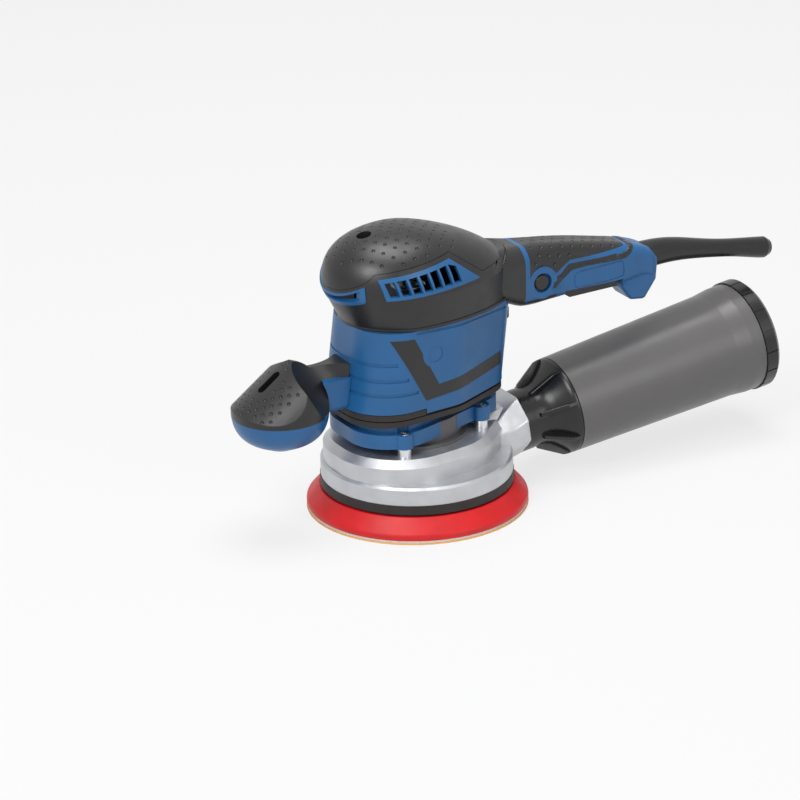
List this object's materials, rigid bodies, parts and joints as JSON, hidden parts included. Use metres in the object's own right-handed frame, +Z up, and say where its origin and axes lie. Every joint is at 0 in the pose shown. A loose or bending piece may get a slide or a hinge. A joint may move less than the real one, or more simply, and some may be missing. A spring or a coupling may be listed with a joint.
{
  "type": "orbital sander",
  "caption": "Random orbital sander with a round sanding pad, a domed motor housing, a front knob, a rear switch handle and a clip-on dust box.",
  "frame": {"origin": "centre of the sanding face, on the pad axis, at the level of the abrasive", "axes": "+Z up from the sanding face, +X towards the rear handle and dust box, -X towards the front knob, +Y to the right of someone who holds the handle and looks along -X"},
  "size_m": [0.4181, 0.15, 0.201],
  "materials": {
    "abrasive": "abrasive grain",
    "hook_nylon": "hook and loop",
    "pad_red": "matte foam",
    "pad_plate": "moulded",
    "steel": "turned",
    "cast_aluminium": "die-cast, bead-blasted",
    "bright_aluminium": "turned, bright",
    "copper": "enamelled copper",
    "laminations": "stacked laminations",
    "carbon": "pressed carbon",
    "brass": "pressed",
    "blue_shell": "fine moulded texture",
    "black_shell": "gloss moulded",
    "soft_grip": "soft grip",
    "rubber": "matte rubber",
    "dust_box": "smoky, slightly translucent",
    "filter_paper": "pleated paper"
  },
  "bodies": {
    "housing": {"lower_bearing": "steel", "upper_bearing": "steel", "stator": "laminations", "field_coils": "copper", "carbon_brushes": "carbon", "brush_holders": "brass", "brake_ring": "rubber", "dust_shroud": "cast_aluminium", "bearing_flange": "cast_aluminium", "spacer_posts": "bright_aluminium", "flange_screws": "steel", "lower_ring": "cast_aluminium", "damping_band": "rubber", "motor_housing": "blue_shell", "side_inlay_left": "soft_grip", "side_inlay_right": "soft_grip", "upper_housing": "black_shell", "side_vent_left": "blue_shell", "side_vent_right": "blue_shell", "front_vent": "blue_shell", "top_cover": "soft_grip", "cover_screw": "steel", "handle_shell_left": "blue_shell", "handle_shell_right": "blue_shell", "handle_top_grip": "soft_grip", "handle_strip_left": "soft_grip", "handle_strip_right": "soft_grip", "neck_grip": "soft_grip", "switch_module": "pad_plate", "cord_sleeve": "rubber", "knob_upper": "soft_grip", "knob_lower": "blue_shell", "knob_screw": "steel"},
    "rotor": {"motor_shaft": "steel", "armature_core": "laminations", "commutator": "copper", "suction_fan": "pad_plate", "counterweight": "steel", "eccentric_hub": "steel", "pad_bearing": "steel"},
    "pad": {"sanding_disc": "abrasive", "hook_face": "hook_nylon", "pad_foam": "pad_red", "pad_plate": "pad_plate", "pad_spindle": "steel", "pad_screw": "steel"},
    "trigger": {"switch_trigger": "black_shell"},
    "lock": {"lock_button": "black_shell"},
    "dust_box": {"box_adapter": "dust_box", "box_container": "dust_box", "dust_filter": "filter_paper"},
    "cap": {"box_cap": "dust_box"},
    "wheel": {"speed_wheel": "rubber"}
  },
  "joints": [
    {"name": "rotor_spin", "type": "hinge", "parent": "housing", "child": "rotor", "pos_m": [-0.002, 0, 0.05], "axis": [0, 0, 1], "continuous": true},
    {"name": "pad_spin", "type": "hinge", "parent": "rotor", "child": "pad", "pos_m": [0, 0, 0.02], "axis": [0, 0, 1], "continuous": true},
    {"name": "trigger_pull", "type": "hinge", "parent": "housing", "child": "trigger", "pos_m": [0.15, 0, 0.1362], "axis": [0, 1, 0], "range_deg": [0, 4], "stiffness_Nm_per_rad": 1.5},
    {"name": "lock_push", "type": "slide", "parent": "housing", "child": "lock", "axis": [0, 1, 0], "range_m": [0, 0.003], "stiffness_N_per_m": 150},
    {"name": "dust_box_pull", "type": "slide", "parent": "housing", "child": "dust_box", "axis": [0.9912, 0, 0.1323], "range_m": [0, 0.06]},
    {"name": "cap_turn", "type": "hinge", "parent": "dust_box", "child": "cap", "pos_m": [0.25683, 0, 0.06489], "axis": [0.9912, 0, 0.1323], "range_deg": [0, 30]},
    {"name": "speed_wheel_turn", "type": "hinge", "parent": "housing", "child": "wheel", "pos_m": [0.061, 0, 0.124], "axis": [0, 0, 1], "range_deg": [0, 270]}
  ]
}
